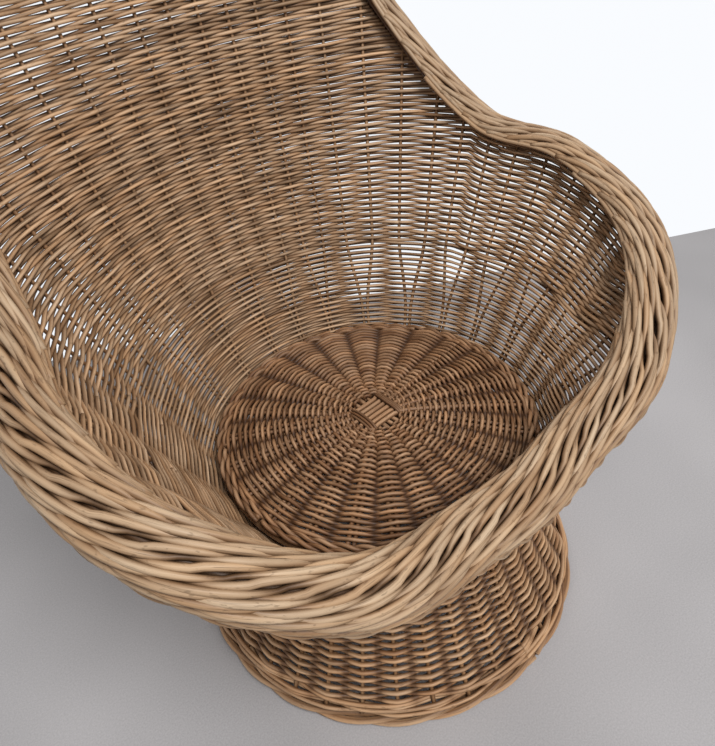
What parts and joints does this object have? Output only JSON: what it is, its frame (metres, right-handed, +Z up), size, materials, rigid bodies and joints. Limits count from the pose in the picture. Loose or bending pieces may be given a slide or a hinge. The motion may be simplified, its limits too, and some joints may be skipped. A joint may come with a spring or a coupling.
{
  "type": "garden chair",
  "caption": "Woven willow tub chair with a tall rounded back, a plaited border, a domed woven seat disc and a flared woven foot that stands on the floor",
  "frame": {"origin": "on the floor, at the centre of the foot and of the seat disc", "axes": "+Z up, the sitter faces -Y, +X is the sitter's left"},
  "size_m": [0.8503, 0.819, 1.1017],
  "materials": {
    "rim_willow": "bare peeled willow rods, light honey",
    "shell_willow": "bare peeled willow rods, tan",
    "foot_willow": "bare peeled willow rods, tan",
    "seat_willow": "bare peeled willow rods, darker orange brown",
    "stake_willow": "bare willow rods, brown"
  },
  "bodies": {
    "root": {"foot_border": "foot_willow", "foot_wale": "foot_willow", "foot_weave": "foot_willow", "foot_stakes": "stake_willow", "waist_band": "foot_willow", "bowl_weave": "shell_willow", "belt_wale": "shell_willow", "side_weave": "shell_willow", "back_weave": "shell_willow", "front_stakes": "stake_willow", "arm_stakes": "stake_willow", "back_stakes": "stake_willow", "rim_border": "rim_willow", "rim_turns": "rim_willow", "cross_upper_sticks": "seat_willow", "cross_lower_sticks": "seat_willow", "rib_side_sticks": "seat_willow", "cross_ties": "seat_willow", "seat_weave": "seat_willow", "seat_edge": "seat_willow", "seat_hoop": "stake_willow"}
  },
  "joints": []
}
